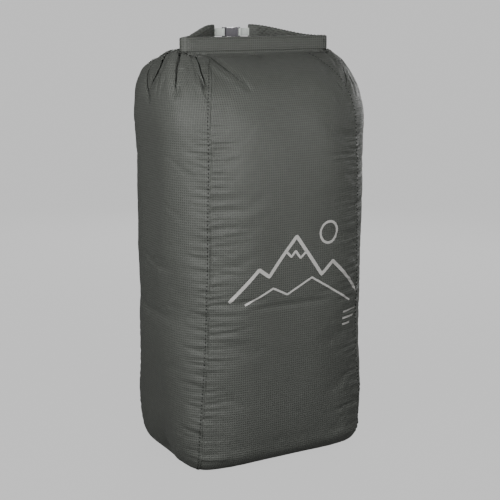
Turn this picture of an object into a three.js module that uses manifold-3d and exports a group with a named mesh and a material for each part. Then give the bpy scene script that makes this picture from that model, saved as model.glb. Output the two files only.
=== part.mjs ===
// A roll-top pack liner: a tall stuff sack of coated ripstop nylon, rolled shut, with the two ends
// of the roll brought round to the back and clipped together. Millimetres, +Z up, the wide front
// panel faces -Y, and the origin is in the middle of the base, on the surface that it stands on.
import * as THREE from 'three';
import { mergeVertices } from 'three/addons/utils/BufferGeometryUtils.js';
import Module from 'manifold-3d';

const wasm = await Module();
wasm.setup();

// ---- Driving dimensions ----

const FABRIC = 1.2; // cloth, drawn thicker than its real 0.1 mm
const SEAM_TRIM = THREE.MathUtils.degToRad(0.25); // each panel stops this far round from its seam
const CLEARANCE = 0.3; // between pieces that touch

// The filled sack, from the base up: height, half width, half depth, squareness of the plan
// outline (2 is an ellipse, more is boxier), how far back its centre lies, and how many degrees
// round from the middle of each side its two seams lie.
const GIRTH = [
  [0, 180, 116.5, 6.6, 0, 36.5],
  [9, 190, 137, 6.6, 0, 37],
  [24, 198, 154, 6.2, 0, 38.5],
  [60, 207.5, 159, 5.5, 0, 43.5],
  [160, 214.5, 164, 4.2, 0, 47.5],
  [340, 216.5, 169, 3.5, 0, 50],
  [520, 218, 172, 3.3, 0, 51],
  [640, 220, 168, 3.2, 0, 52.5],
  [715, 222, 148.5, 3.35, -1.5, 56.5],
  [765, 213.5, 125, 3.4, 7, 61],
  [790, 198, 98, 3.5, 13, 63.5],
  [802, 182, 67, 3.6, 8, 65.5],
  [806.5, 171, 36, 3.8, -11, 66.5],
  [809.5, 158, 8, 5, -32.5, 69],
  [813.1, 152, 4.6, 5, -32.5, 69],
];
const NECK_TOP = GIRTH.at(-1)[0];

// The rolled mouth: a flat spiral of cloth round a stiffener strip.
const ROLL = { height: 30, layer: 0.8, pitch: 1.25, core: 1.3, turns: 2.5, bottom: 813.5 };
const ROLL_RADIUS = ROLL.core + ROLL.pitch * ROLL.turns + ROLL.layer / 2;
const ROLL_FRONT = { halfLength: 151.5, y: -32.5, z: ROLL.bottom + ROLL.height / 2 };
const TAIL = { bendRadius: 8, endRadius: 30, rise: 21 };
const TAIL_ANGLE = { left: 40, right: 36.5 }; // degrees between each tail and the front run
const STIFFENER = { height: 20, thickness: 1 };

// The buckle, for 15 mm webbing. It lies on its side behind the roll, with its length along X.
const BUCKLE = { x: -5, y: 65, z: ROLL_FRONT.z + TAIL.rise - 1 };
const WEBBING = { width: 15, thickness: 1 };
const TAPE = { halfWidth: 10, thickness: 0.5 };

const COLOURS = {
  nylon: { color: 0x4b4e49, roughness: 0.55, metalness: 0 },
  stiffener: { color: 0x2b2c2a, roughness: 0.6, metalness: 0 },
  webbing: { color: 0xc9cdc7, roughness: 0.85, metalness: 0 },
  acetal: { color: 0x4a4a4c, roughness: 0.42, metalness: 0 },
  tape: { color: 0x8b8e8a, roughness: 0.5, metalness: 0 },
};

const sack = new THREE.Group();
sack.name = 'roll_top_sack';

function add(name, geometry, finish, parent = sack) {
  const mesh = new THREE.Mesh(geometry, new THREE.MeshStandardMaterial(COLOURS[finish]));
  mesh.name = name;
  parent.add(mesh);
  return mesh;
}

// ---- Closed surfaces from grids and rings ----

// Turns a closed surface so that its faces point out.
function facingOut(geometry) {
  const at = geometry.getAttribute('position');
  const index = geometry.index;
  const [a, b, c] = [new THREE.Vector3(), new THREE.Vector3(), new THREE.Vector3()];
  let volume = 0;
  for (let i = 0; i < index.count; i += 3) {
    a.fromBufferAttribute(at, index.getX(i));
    b.fromBufferAttribute(at, index.getX(i + 1));
    c.fromBufferAttribute(at, index.getX(i + 2));
    volume += a.dot(b.cross(c));
  }
  if (volume < 0) {
    for (let i = 0; i < index.count; i += 3) {
      const second = index.getX(i + 1);
      index.setX(i + 1, index.getX(i + 2));
      index.setX(i + 2, second);
    }
  }
  geometry.computeVertexNormals();
  return geometry;
}

function geometryOf(points, triangles) {
  const geometry = new THREE.BufferGeometry().setFromPoints(points);
  geometry.setIndex(triangles);
  return facingOut(geometry);
}

// A sheet of cloth or tape that follows pointAt(across, along), both from 0 to 1. It fills the depth
// from one offset to the other, measured from that surface towards the inside of the sack.
function sheet(pointAt, rowsAcross, rowsAlong, from, to) {
  const [width, length] = [rowsAcross.length, rowsAlong.length];
  const outer = rowsAlong.flatMap((v) => rowsAcross.map((u) => pointAt(u, v)));
  const id = (i, j) => j * width + i;
  const quads = [];
  for (let j = 0; j < length - 1; j++) {
    for (let i = 0; i < width - 1; i++) {
      const [a, b, c, d] = [id(i, j), id(i + 1, j), id(i + 1, j + 1), id(i, j + 1)];
      quads.push(a, b, c, a, c, d);
    }
  }
  const skin = new THREE.BufferGeometry().setFromPoints(outer);
  skin.setIndex(quads);
  skin.computeVertexNormals();
  const normals = skin.getAttribute('normal');
  const normal = new THREE.Vector3();
  const middle = id(width >> 1, length >> 1);
  // The sign that makes the normals point to the sack's own axis.
  normal.fromBufferAttribute(normals, middle);
  const inward = Math.sign(INSIDE.clone().sub(outer[middle]).dot(normal));
  const layer = (depth) => outer.map((p, k) =>
    p.clone().addScaledVector(normal.fromBufferAttribute(normals, k), inward * depth));
  const points = [...layer(from), ...layer(to)];
  const under = outer.length;
  const triangles = [...quads];
  for (let k = 0; k < quads.length; k += 3) {
    triangles.push(under + quads[k], under + quads[k + 2], under + quads[k + 1]);
  }
  const rim = [];
  for (let i = 0; i < width - 1; i++) rim.push(id(i, 0));
  for (let j = 0; j < length - 1; j++) rim.push(id(width - 1, j));
  for (let i = width - 1; i > 0; i--) rim.push(id(i, length - 1));
  for (let j = length - 1; j > 0; j--) rim.push(id(0, j));
  rim.forEach((a, k) => {
    const b = rim[(k + 1) % rim.length];
    triangles.push(b, a, under + a, b, under + a, under + b);
  });
  return geometryOf(points, triangles);
}

const INSIDE = new THREE.Vector3(0, 0, 400);
const steps = (count) => Array.from({ length: count + 1 }, (_, i) => i / count);

// A section swept along places. Each place has a point, and the direction of the section's
// first axis; its second axis is straight up.
function sweep(section, places) {
  const points = places.flatMap(({ at, side }) => section.map(({ x, y }) =>
    at.clone().addScaledVector(side, x).add(new THREE.Vector3(0, 0, y))));
  const n = section.length;
  const triangles = [];
  for (let j = 0; j < places.length - 1; j++) {
    for (let i = 0; i < n; i++) {
      const [a, b] = [j * n + i, j * n + ((i + 1) % n)];
      triangles.push(a, b, b + n, a, b + n, a + n);
    }
  }
  const last = (places.length - 1) * n;
  // The caps' triangles come anticlockwise. They have to run against the walls at the rim.
  const anticlockwise = THREE.ShapeUtils.area(section) > 0;
  for (const [a, b, c] of THREE.ShapeUtils.triangulateShape(section, [])) {
    const [first, second] = anticlockwise ? [c, b] : [b, c];
    triangles.push(a, first, second, last + a, last + second, last + first);
  }
  return geometryOf(points, triangles);
}

// ---- The outline of the filled sack ----

const girthAt = new THREE.CubicInterpolant(
  GIRTH.map(([height]) => height), GIRTH.flatMap((station) => station.slice(1)), 5);

// The point at a height and an angle round the sack: 0 is +X, and -90 degrees is the front.
function onSack(height, angle) {
  const [halfWidth, halfDepth, squareness, back] = girthAt.evaluate(height);
  const bulge = (x) => Math.sign(x) * Math.abs(x) ** (2 / squareness);
  return new THREE.Vector3(
    halfWidth * bulge(Math.cos(angle)), back + halfDepth * bulge(Math.sin(angle)), height);
}

const { lerp, degToRad: turn } = THREE.MathUtils;

// The angles round the sack at which its four seams lie, at a height.
function seamsAt(height) {
  const fromSide = turn(girthAt.evaluate(height)[4]);
  return {
    frontLeft: Math.PI + fromSide,
    frontRight: 2 * Math.PI - fromSide,
    backLeft: Math.PI - fromSide,
    backRight: fromSide,
  };
}

// Rows close together at the base and the shoulders, where the cloth turns most.
const rise = (share) => NECK_TOP * (0.5 - 0.5 * Math.cos(Math.PI * share));

// ---- Panels ----

// The main panel is one length of cloth: down the front, under the base and up the back.
const FRONT_SHARE = 0.42;
function onMainPanel(across, along) {
  const front = (height) => {
    const { frontLeft, frontRight } = seamsAt(height);
    return onSack(height, lerp(frontLeft + SEAM_TRIM, frontRight - SEAM_TRIM, across));
  };
  const back = (height) => {
    const { backLeft, backRight } = seamsAt(height);
    return onSack(height, lerp(backLeft - SEAM_TRIM, backRight + SEAM_TRIM, across));
  };
  if (along <= FRONT_SHARE) return front(rise(1 - along / FRONT_SHARE));
  if (along >= 1 - FRONT_SHARE) return back(rise(1 - (1 - along) / FRONT_SHARE));
  // Across the base, the sheet's side edges follow the gussets' feet.
  const share = (along - FRONT_SHARE) / (1 - 2 * FRONT_SHARE);
  const { frontLeft, backLeft } = seamsAt(0);
  const [foreCorner, aftCorner] = [onSack(0, frontLeft), onSack(0, backLeft)];
  const foot = onSack(0, lerp(frontLeft, backLeft, share));
  foot.sub(foreCorner.lerp(aftCorner, share));
  const point = front(0).lerp(back(0), share);
  point.x += (1 - 2 * across) * (foot.x + CLEARANCE);
  point.y += foot.y;
  return point;
}

const FRONT_ROWS = 20;
const BASE_ROWS = 12;
const mainRows = [
  ...steps(FRONT_ROWS).map((s) => s * FRONT_SHARE),
  ...steps(BASE_ROWS).slice(1, -1).map((s) => lerp(FRONT_SHARE, 1 - FRONT_SHARE, s)),
  ...steps(FRONT_ROWS).map((s) => 1 - FRONT_SHARE + s * FRONT_SHARE),
];
add('main_panel', sheet(onMainPanel, steps(16), mainRows, 0, FABRIC), 'nylon');

// Each gusset closes one narrow side, from the base to the neck.
const GUSSET_FOOT = 0.5;
for (const [name, side] of [['left_gusset', -1], ['right_gusset', 1]]) {
  const onGusset = (across, along) => {
    const height = Math.max(GUSSET_FOOT, rise(along));
    const { backLeft, frontLeft, frontRight, backRight } = seamsAt(height);
    const [from, to] = side < 0 ? [backLeft, frontLeft] : [frontRight - turn(360), backRight];
    return onSack(height, lerp(from + SEAM_TRIM, to - SEAM_TRIM, across));
  };
  add(name, sheet(onGusset, steps(12), steps(FRONT_ROWS), 0, FABRIC), 'nylon');
}

// ---- Seam tape, inside, over every seam ----

const TAPE_DEPTH = FABRIC + 1.1;
// The panel rows that a seam's tape follows: it stops short of the base and of the neck.
const TAPE_ROWS = steps(FRONT_ROWS).slice(3, -2);

// The angle that reaches a given distance along the cloth from a seam, at a height.
function angleFor(distance, height, angle) {
  const probe = turn(1);
  const reach = onSack(height, angle - probe).distanceTo(onSack(height, angle + probe));
  return (distance * 2 * probe) / reach;
}

for (const [name, seam] of [
  ['front_left', 'frontLeft'], ['back_left', 'backLeft'],
  ['front_right', 'frontRight'], ['back_right', 'backRight'],
]) {
  const onTape = (across, along) => {
    const height = rise(along);
    const angle = seamsAt(height)[seam];
    return onSack(height, angle + angleFor(lerp(-1, 1, across) * TAPE.halfWidth, height, angle));
  };
  const tape = sheet(onTape, steps(4), TAPE_ROWS, TAPE_DEPTH, TAPE_DEPTH + TAPE.thickness);
  add(name + '_seam_tape', tape, 'tape');
}

// The tape over each foot seam, half on the base and half up the gusset.
for (const [name, side] of [['left', -1], ['right', 1]]) {
  const onFoot = (across, along) => {
    const angle = turn(side < 0 ? 180 : 0) + turn(lerp(-30, 30, along));
    const edge = onSack(0, angle);
    if (across < 0.5) {
      edge.x -= side * TAPE.halfWidth * (1 - 2 * across);
      return edge;
    }
    return onSack(TAPE.halfWidth * (across - 0.5), angle);
  };
  const tape = sheet(onFoot, steps(6), steps(10), TAPE_DEPTH, TAPE_DEPTH + TAPE.thickness);
  add(name + '_foot_seam_tape', tape, 'tape');
}

// ---- The rolled mouth ----

// The roll's section: x is its thickness, towards the back, and y its height. The cloth winds
// outwards from the stiffener. Its last half turn comes over the top from the back of the neck, as
// it does when a mouth is rolled shut towards the front.
function spiralSection() {
  const flat = ROLL.height / 2 - ROLL_RADIUS;
  const pointsPerTurn = 12;
  const edge = (offset) => steps(ROLL.turns * pointsPerTurn).flatMap((share) => {
    const angle = turn(90) + share * ROLL.turns * 2 * Math.PI;
    const radius = ROLL.core + ROLL.pitch * ROLL.turns * share + offset;
    const sine = Math.sin(angle);
    return [new THREE.Vector2(
      -radius * Math.cos(angle), radius * sine + (sine > -1e-9 ? flat : -flat))];
  });
  return [...edge(ROLL.layer / 2), ...edge(-ROLL.layer / 2).reverse()];
}

function strip(thickness, height) {
  return [[-1, -1], [1, -1], [1, 1], [-1, 1]].map(([x, y]) =>
    new THREE.Vector2((x * thickness) / 2, (y * height) / 2));
}

// The places along the front run, from one end to the other.
const frontRun = [-1, 0, 1].map((share) => ({
  at: new THREE.Vector3(share * ROLL_FRONT.halfLength, ROLL_FRONT.y, ROLL_FRONT.z),
  side: new THREE.Vector3(0, 1, 0),
}));

// The places along a tail: round the end of the front run, straight back towards the buckle, and a
// last easy turn that lines it up with the webbing. It climbs as it goes.
function tailRun(sign, degrees) {
  const angle = turn(degrees);
  const bend = Math.PI - angle;
  const { bendRadius, endRadius } = TAIL;
  const start = new THREE.Vector2(ROLL_FRONT.halfLength + CLEARANCE, ROLL_FRONT.y);
  const afterBend = new THREE.Vector2(
    start.x + bendRadius * Math.sin(bend), start.y + bendRadius * (1 - Math.cos(bend)));
  const lastTurn = endRadius * (1 - Math.cos(angle));
  const straight = (BUCKLE.y - afterBend.y - lastTurn) / Math.sin(angle);
  const heading = new THREE.Vector2(-Math.cos(angle), Math.sin(angle));
  const beforeEnd = afterBend.clone().addScaledVector(heading, straight);
  const plan = [
    ...steps(9).map((s) => [
      start.x + bendRadius * Math.sin(s * bend), start.y + bendRadius * (1 - Math.cos(s * bend)),
      s * bend]),
    ...[0.33, 0.66].map((s) => [
      lerp(afterBend.x, beforeEnd.x, s), lerp(afterBend.y, beforeEnd.y, s), bend]),
    ...steps(3).map((s) => [
      beforeEnd.x - endRadius * (Math.sin(angle) - Math.sin(angle * (1 - s))),
      beforeEnd.y + endRadius * (Math.cos(angle * (1 - s)) - Math.cos(angle)),
      bend + s * angle]),
  ];
  const climb = (x) => TAIL.rise * THREE.MathUtils.smoothstep(start.x - x, 0, start.x - plan.at(-1)[0]);
  return plan.map(([x, y, turned]) => ({
    at: new THREE.Vector3(sign * x, y, ROLL_FRONT.z + climb(x)),
    side: new THREE.Vector3(-sign * Math.sin(turned), Math.cos(turned), 0),
  }));
}

const tails = {
  left: tailRun(-1, TAIL_ANGLE.left),
  right: tailRun(1, TAIL_ANGLE.right),
};
const rollSection = spiralSection();
const stiffenerSection = strip(STIFFENER.thickness, STIFFENER.height);
add('roll_front', sweep(rollSection, frontRun), 'nylon');
add('front_stiffener', sweep(stiffenerSection, frontRun), 'stiffener');
for (const side of ['left', 'right']) {
  add(`roll_${side}_tail`, sweep(rollSection, tails[side]), 'nylon');
  add(`${side}_tail_stiffener`, sweep(stiffenerSection, tails[side]), 'stiffener');
}

// ---- Gathered neck ----

// Past the ends of the front run, the two layers of the neck stand up between the sack's domed top
// and each tail of the roll, as a web.
const WEB = { thickness: 1.6, topGap: 0.4, footGap: 2.5 };

// The height of the domed top over a point in plan.
function domeHeight(x, y) {
  let [low, high] = [GIRTH[7][0], NECK_TOP];
  for (let i = 0; i < 30; i++) {
    const middle = (low + high) / 2;
    const [halfWidth, halfDepth, squareness, back] = girthAt.evaluate(middle);
    const reach = Math.abs(x / halfWidth) ** squareness
      + Math.abs((y - back) / halfDepth) ** squareness;
    if (reach < 1) low = middle;
    else high = middle;
  }
  return low;
}

for (const side of ['left', 'right']) {
  const path = tails[side].map(({ at }) => at);
  const onWeb = (down, along) => {
    const place = along * (path.length - 1);
    const before = Math.min(Math.floor(place), path.length - 2);
    const point = path[before].clone().lerp(path[before + 1], place - before);
    const top = point.z - ROLL.height / 2 - WEB.topGap;
    const foot = Math.min(domeHeight(point.x, point.y) + WEB.footGap, top - 1);
    point.z = lerp(top, foot, down);
    return point;
  };
  const rows = path.map((_, i) => i / (path.length - 1)).slice(3);
  const web = sheet(onWeb, steps(3), rows, -WEB.thickness / 2, WEB.thickness / 2);
  add(`${side}_neck_web`, web, 'nylon');
}

// ---- Buckle ----

const buckle = new THREE.Group();
buckle.position.set(BUCKLE.x, BUCKLE.y, BUCKLE.z);
buckle.rotation.x = Math.PI / 2; // the drawing's y is up, and its z points to the front
sack.add(buckle);

const MOUTH = 4; // where the socket half ends and the plug half begins
const SOCKET = { end: -21, waist: 8, halfWidth: 10, thickness: 8 };
const CAVITY = { end: -13.2, halfWidth: 6.8, thickness: 5.2 };
const WINDOW = { from: -12.8, to: -5.6 };
const PLUG = { end: 18, halfWidth: 10, thickness: 6.4 };
const SLOT = { halfWidth: 8, length: 3 };
const BAR = 2.4; // the bar that the webbing goes round
const TONGUE = { halfWidth: 1.3, length: 10, thickness: 3.6 };
const PRONG = { inner: 4.4, thickness: 1.9, head: 8.8, tip: -12.4, depth: 4.2 };
const MOULD_EDGE = 0.7; // rounding of the moulded edges

function solidOf(geometry) {
  const bare = geometry.index ? geometry.toNonIndexed() : geometry.clone();
  bare.deleteAttribute('normal');
  bare.deleteAttribute('uv');
  const merged = mergeVertices(bare, 1e-4);
  return new wasm.Manifold(new wasm.Mesh({
    numProp: 3,
    vertProperties: merged.attributes.position.array,
    triVerts: new Uint32Array(merged.index.array),
  }));
}

function fromSolid(solid) {
  const mesh = solid.getMesh();
  const geometry = new THREE.BufferGeometry();
  geometry.setAttribute('position', new THREE.BufferAttribute(mesh.vertProperties, 3));
  geometry.setIndex(new THREE.BufferAttribute(mesh.triVerts, 1));
  geometry.computeVertexNormals();
  return geometry;
}

function block(x0, x1, halfWidth, thickness) {
  return solidOf(new THREE.BoxGeometry(x1 - x0, 2 * halfWidth, thickness)
    .translate((x0 + x1) / 2, 0, 0));
}

// An outline extruded to a thickness, with rounded moulded edges.
function moulding(shape, thickness, edge) {
  const geometry = new THREE.ExtrudeGeometry(shape, {
    depth: thickness - 2 * edge, bevelEnabled: edge > 0, bevelThickness: edge,
    bevelSize: edge, bevelOffset: -edge, bevelSegments: 2, curveSegments: 4,
  });
  return geometry.translate(0, 0, edge - thickness / 2);
}

// The socket half: a flat shell, waisted where the fingers reach its side windows.
function socketHalf() {
  const { end, waist, halfWidth, thickness } = SOCKET;
  const outline = new THREE.Shape();
  outline.moveTo(end + 2, -halfWidth);
  outline.lineTo(end + 6, -halfWidth);
  outline.bezierCurveTo(end + 8.5, -halfWidth, WINDOW.from - 1, -waist, WINDOW.from + 2, -waist);
  outline.lineTo(WINDOW.to - 1, -waist);
  outline.bezierCurveTo(WINDOW.to + 2, -waist, MOUTH - 5, -halfWidth + 0.6, MOUTH, -halfWidth + 0.6);
  outline.lineTo(MOUTH, halfWidth - 0.6);
  outline.bezierCurveTo(MOUTH - 5, halfWidth - 0.6, WINDOW.to + 2, waist, WINDOW.to - 1, waist);
  outline.lineTo(WINDOW.from + 2, waist);
  outline.bezierCurveTo(WINDOW.from - 1, waist, end + 8.5, halfWidth, end + 6, halfWidth);
  outline.lineTo(end + 2, halfWidth);
  outline.quadraticCurveTo(end, halfWidth, end, halfWidth - 2);
  outline.lineTo(end, -halfWidth + 2);
  outline.quadraticCurveTo(end, -halfWidth, end + 2, -halfWidth);
  const slotStart = end + BAR;
  return solidOf(moulding(outline, thickness, MOULD_EDGE))
    .subtract(block(CAVITY.end, MOUTH + 1, CAVITY.halfWidth, CAVITY.thickness))
    .subtract(block(WINDOW.from, WINDOW.to, halfWidth + 1, CAVITY.thickness))
    .subtract(block(slotStart, slotStart + SLOT.length, SLOT.halfWidth, thickness + 1));
}

// The plug half without its prongs: a collar that meets the socket, a guide tongue and a bar.
const COLLAR = MOUTH + 0.6;
function plugHalf() {
  const { end, halfWidth, thickness } = PLUG;
  const outline = new THREE.Shape();
  outline.moveTo(COLLAR, -halfWidth + 0.6);
  outline.lineTo(COLLAR + 4, -halfWidth + 1.2);
  outline.quadraticCurveTo(COLLAR + 6, -halfWidth, COLLAR + 8, -halfWidth);
  outline.lineTo(end - 2, -halfWidth);
  outline.quadraticCurveTo(end, -halfWidth, end, -halfWidth + 2);
  outline.lineTo(end, halfWidth - 2);
  outline.quadraticCurveTo(end, halfWidth, end - 2, halfWidth);
  outline.lineTo(COLLAR + 8, halfWidth);
  outline.quadraticCurveTo(COLLAR + 6, halfWidth, COLLAR + 4, halfWidth - 1.2);
  outline.lineTo(COLLAR, halfWidth - 0.6);
  outline.closePath();
  const slotEnd = end - BAR;
  return solidOf(moulding(outline, thickness, MOULD_EDGE))
    .subtract(block(slotEnd - SLOT.length, slotEnd, SLOT.halfWidth, thickness + 1))
    .add(block(COLLAR - TONGUE.length, COLLAR + 1, TONGUE.halfWidth, TONGUE.thickness));
}

// One springy prong. Its head stands in the socket's side window, and its square shoulder catches
// on the window's edge. sign is 1 for the upper one and -1 for the lower one.
function prong(sign) {
  const root = COLLAR - CLEARANCE;
  const shoulder = WINDOW.to - 0.4;
  const { inner, thickness, head, tip } = PRONG;
  const outer = inner + thickness;
  const outline = new THREE.Shape();
  outline.moveTo(root, sign * inner);
  outline.lineTo(root, sign * outer);
  outline.lineTo(shoulder, sign * outer);
  outline.lineTo(shoulder, sign * head);
  outline.quadraticCurveTo(shoulder - 3.5, sign * head, tip + 1.5, sign * (outer + 1.2));
  outline.quadraticCurveTo(tip, sign * (outer + 0.4), tip, sign * (inner + 1));
  outline.quadraticCurveTo(tip, sign * inner, tip + 1, sign * inner);
  outline.closePath();
  return moulding(outline, PRONG.depth, 0);
}

add('buckle_socket', fromSolid(socketHalf()), 'acetal', buckle);
add('buckle_plug', fromSolid(plugHalf()), 'acetal', buckle);
add('upper_prong', prong(1), 'acetal', buckle);
add('lower_prong', prong(-1), 'acetal', buckle);

// ---- Webbing tabs ----

// A length of webbing folded round a buckle bar, its two layers running together to the tail.
// sign is -1 on the left. The outline is drawn in plan and extruded across the webbing.
function tab(sign, barInside, tailEnd) {
  const { thickness, width } = WEBBING;
  const reach = Math.abs(tailEnd - barInside);
  const inner = SOCKET.thickness / 2 + CLEARANCE; // how far each layer stands off the middle
  const outer = inner + thickness;
  const meets = 9; // where the layers come together
  const apart = 0.2;
  const shape = new THREE.Shape();
  const at = (distance, off) => [barInside + sign * distance, off];
  // Once round the outside, then back along the inside.
  shape.moveTo(...at(reach, apart + thickness));
  shape.lineTo(...at(meets, apart + thickness));
  shape.quadraticCurveTo(...at(4, outer), ...at(2, outer));
  shape.quadraticCurveTo(...at(-thickness, outer), ...at(-thickness, 2.5));
  shape.lineTo(...at(-thickness, -2.5));
  shape.quadraticCurveTo(...at(-thickness, -outer), ...at(2, -outer));
  shape.quadraticCurveTo(...at(4, -outer), ...at(meets, -apart - thickness));
  shape.lineTo(...at(reach, -apart - thickness));
  shape.lineTo(...at(reach, -apart));
  shape.lineTo(...at(meets, -apart));
  shape.quadraticCurveTo(...at(4, -inner), ...at(2.4, -inner));
  shape.lineTo(...at(1, -inner));
  shape.quadraticCurveTo(...at(0, -inner), ...at(0, -inner + 1));
  shape.lineTo(...at(0, inner - 1));
  shape.quadraticCurveTo(...at(0, inner), ...at(1, inner));
  shape.lineTo(...at(2.4, inner));
  shape.quadraticCurveTo(...at(4, inner), ...at(meets, apart));
  shape.lineTo(...at(reach, apart));
  shape.closePath();
  const geometry = new THREE.ExtrudeGeometry(
    shape, { depth: width, bevelEnabled: false, curveSegments: 5 });
  return geometry.translate(BUCKLE.x, BUCKLE.y, BUCKLE.z - width / 2);
}

const tailEnd = (side) => tails[side].at(-1).at.x - BUCKLE.x;
const barClearance = CLEARANCE + 0.1;
add('left_webbing_tab',
  tab(-1, SOCKET.end + BAR + barClearance, tailEnd('left') + CLEARANCE), 'webbing');
add('right_webbing_tab',
  tab(1, PLUG.end - BAR - barClearance, tailEnd('right') - CLEARANCE), 'webbing');

export default sack;
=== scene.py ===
import math

import bmesh
import bpy
import numpy as np
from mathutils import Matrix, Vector


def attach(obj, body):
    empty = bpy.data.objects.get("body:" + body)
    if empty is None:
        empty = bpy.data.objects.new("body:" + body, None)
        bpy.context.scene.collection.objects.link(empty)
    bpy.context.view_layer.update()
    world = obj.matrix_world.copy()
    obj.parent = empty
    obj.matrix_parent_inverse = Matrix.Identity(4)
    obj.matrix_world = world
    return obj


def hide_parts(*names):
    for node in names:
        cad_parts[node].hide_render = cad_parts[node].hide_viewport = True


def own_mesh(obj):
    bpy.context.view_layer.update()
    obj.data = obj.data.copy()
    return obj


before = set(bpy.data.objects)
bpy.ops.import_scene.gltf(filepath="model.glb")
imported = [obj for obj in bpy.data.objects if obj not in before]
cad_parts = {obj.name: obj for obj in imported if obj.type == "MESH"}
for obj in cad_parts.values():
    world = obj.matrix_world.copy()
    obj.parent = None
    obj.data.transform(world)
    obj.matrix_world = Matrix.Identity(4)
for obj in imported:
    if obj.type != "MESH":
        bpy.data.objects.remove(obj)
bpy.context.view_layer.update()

# Lengths are in millimetres up to mesh_piece(), which turns them into metres.

# ---- Dimensions ----

# The filled sack: height, half width, half depth, squareness of the plan outline, how far back
# its centre lies, and how many degrees round from the middle of each side its seams lie.
GIRTH = np.array([
    [0, 180, 116.5, 6.6, 0, 36.5],
    [9, 190, 137, 6.6, 0, 37],
    [24, 198, 154, 6.2, 0, 38.5],
    [60, 207.5, 159, 5.5, 0, 43.5],
    [160, 214.5, 164, 4.2, 0, 47.5],
    [340, 216.5, 169, 3.5, 0, 50],
    [520, 218, 172, 3.3, 0, 51],
    [640, 220, 168, 3.2, 0, 52.5],
    [715, 222, 148.5, 3.35, -1.5, 56.5],
    [765, 213.5, 125, 3.4, 7, 61],
    [790, 198, 98, 3.5, 13, 63.5],
    [802, 182, 67, 3.6, 8, 65.5],
    [806.5, 171, 36, 3.8, -11, 66.5],
    [809.5, 158, 6.4, 5, -32.5, 69],
    [813.1, 152, 3.2, 5, -32.5, 69],
    [815.5, 151, 2.2, 5, -32.5, 69],
], float)

ROLL_HEIGHT, ROLL_BOTTOM = 30.0, 813.5
ROLL_LAYER, ROLL_PITCH, ROLL_CORE, ROLL_TURNS = 0.8, 1.25, 1.3, 2.5
ROLL_RADIUS = ROLL_CORE + ROLL_PITCH * ROLL_TURNS + ROLL_LAYER / 2
FRONT_HALF, FRONT_Y, FRONT_Z = 151.5, -32.5, ROLL_BOTTOM + ROLL_HEIGHT / 2
TAIL_BEND, TAIL_END_BEND, TAIL_RISE = 8.0, 30.0, 21.0
TAIL_ANGLE = {-1: 40.0, 1: 36.5}
BUCKLE_AT = np.array([-5.0, 65.0, FRONT_Z + TAIL_RISE - 1])

rng = np.random.default_rng(11)


def smoothstep(x, low=0.0, high=1.0):
    t = np.clip((np.asarray(x, float) - low) / (high - low), 0, 1)
    return t * t * (3 - 2 * t)


def bell(x, width):
    return np.exp(-((np.asarray(x) / width) ** 2))


# ---- Meshes ----


def travel_along(at):
    return np.concatenate([[0], np.cumsum(np.linalg.norm(np.diff(at, axis=0), axis=1))])


def evenly(line, count):
    """count points the same distance apart along a flat line, and how far along it each one is."""
    length = travel_along(line)
    at = np.linspace(0, length[-1], count)
    return np.stack([np.interp(at, length, line[:, k]) for k in (0, 1)], 1), at


def softened(line, times):
    """A line with its turns rounded off. Its ends stay where they are."""
    for _ in range(times):
        line[1:-1] = (line[:-2] + 2 * line[1:-1] + line[2:]) / 4
    return line


def left_of(line):
    """Unit vectors that point to the left of a flat line."""
    tangent = np.gradient(line, axis=0)
    tangent /= np.linalg.norm(tangent, axis=1, keepdims=True)
    return np.stack([-tangent[:, 1], tangent[:, 0]], 1)


def grid_faces(rows, columns, wrap=False):
    """Quads over rows x columns of points, joined round if wrap."""
    across = columns if wrap else columns - 1
    i, j = np.meshgrid(np.arange(rows - 1), np.arange(across), indexing="ij")
    k = (j + 1) % columns
    a, b = i * columns + j, i * columns + k
    return np.stack([a, b, b + columns, a + columns], -1).reshape(-1, 4)


def mesh_piece(name, points, faces, material, uv=None, sharp=False):
    """A mesh object from points in millimetres, in a list or a grid. uv has a pair for each."""
    points = np.asarray(points, float).reshape(-1, 3) / 1000
    mesh = bpy.data.meshes.new(name)
    mesh.from_pydata(points.tolist(), [], [list(map(int, f)) for f in faces])
    mesh.polygons.foreach_set("use_smooth", [not sharp] * len(mesh.polygons))
    if uv is not None:
        layer = mesh.uv_layers.new(name="cloth")
        at = np.zeros(len(mesh.loops), int)
        mesh.loops.foreach_get("vertex_index", at)
        layer.data.foreach_set("uv", np.asarray(uv, float).reshape(-1, 2)[at].ravel())
    mesh.materials.append(material)
    mesh.update()
    piece = bpy.data.objects.new(name, mesh)
    bpy.context.scene.collection.objects.link(piece)
    return piece


def fit(piece, body, node=None):
    """Says which body a piece rides on, which CAD node it replaces if any."""
    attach(piece, body)
    if node:
        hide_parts(node)


def ring_normals(points):
    """Unit normals of a rows x columns x 3 grid whose columns wrap round."""
    along = np.gradient(points, axis=0)
    across = (np.roll(points, -1, 1) - np.roll(points, 1, 1)) / 2
    normal = np.cross(across, along)
    return normal / np.maximum(np.linalg.norm(normal, axis=-1, keepdims=True), 1e-9)


class Noise:
    """Smooth seeded noise in the plane: a sum of waves with random directions."""

    def __init__(self, size):
        waves = 9
        turn = rng.uniform(0, 2 * math.pi, waves)
        rate = 2 * math.pi / size * rng.uniform(0.6, 1.6, waves)
        self.x, self.y = rate * np.cos(turn), rate * np.sin(turn)
        self.phase = rng.uniform(0, 2 * math.pi, waves)

    def __call__(self, x, y):
        waves = (x[..., None] * self.x + y[..., None] * self.y + self.phase)
        return np.sin(waves).sum(-1) / math.sqrt(len(self.x) / 2) / 2


# ---- The outline of the filled sack ----


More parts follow.
